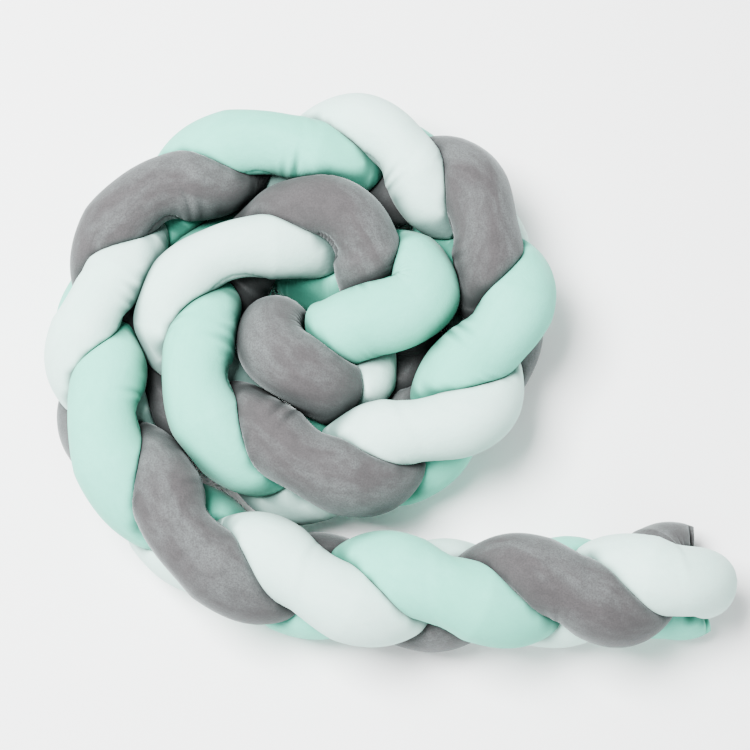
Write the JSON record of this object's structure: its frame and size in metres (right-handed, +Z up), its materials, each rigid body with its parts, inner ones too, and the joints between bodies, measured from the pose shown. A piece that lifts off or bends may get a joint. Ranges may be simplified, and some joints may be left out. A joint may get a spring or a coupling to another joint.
{
  "type": "plaited crib bumper",
  "caption": "Long plush crib bumper plaited from stuffed white, mint and grey tubes, standing on edge and rolled into a loose coil with one end trailing.",
  "frame": {"origin": "centre of the coil's plan, on the surface that it stands on", "axes": "+Z up, the plait's height; +X along the longest extent, towards the trailing end; +Y towards the back of the coil"},
  "size_m": [0.8337, 0.6884, 0.1804],
  "materials": {
    "plush_white": "short plush pile, soft white",
    "plush_mint": "short plush pile, pale mint green",
    "plush_grey": "short plush pile, mid grey with lighter brushed patches"
  },
  "bodies": {
    "root": {"strand_white": "plush_white", "strand_mint": "plush_mint", "strand_grey": "plush_grey"}
  },
  "joints": []
}
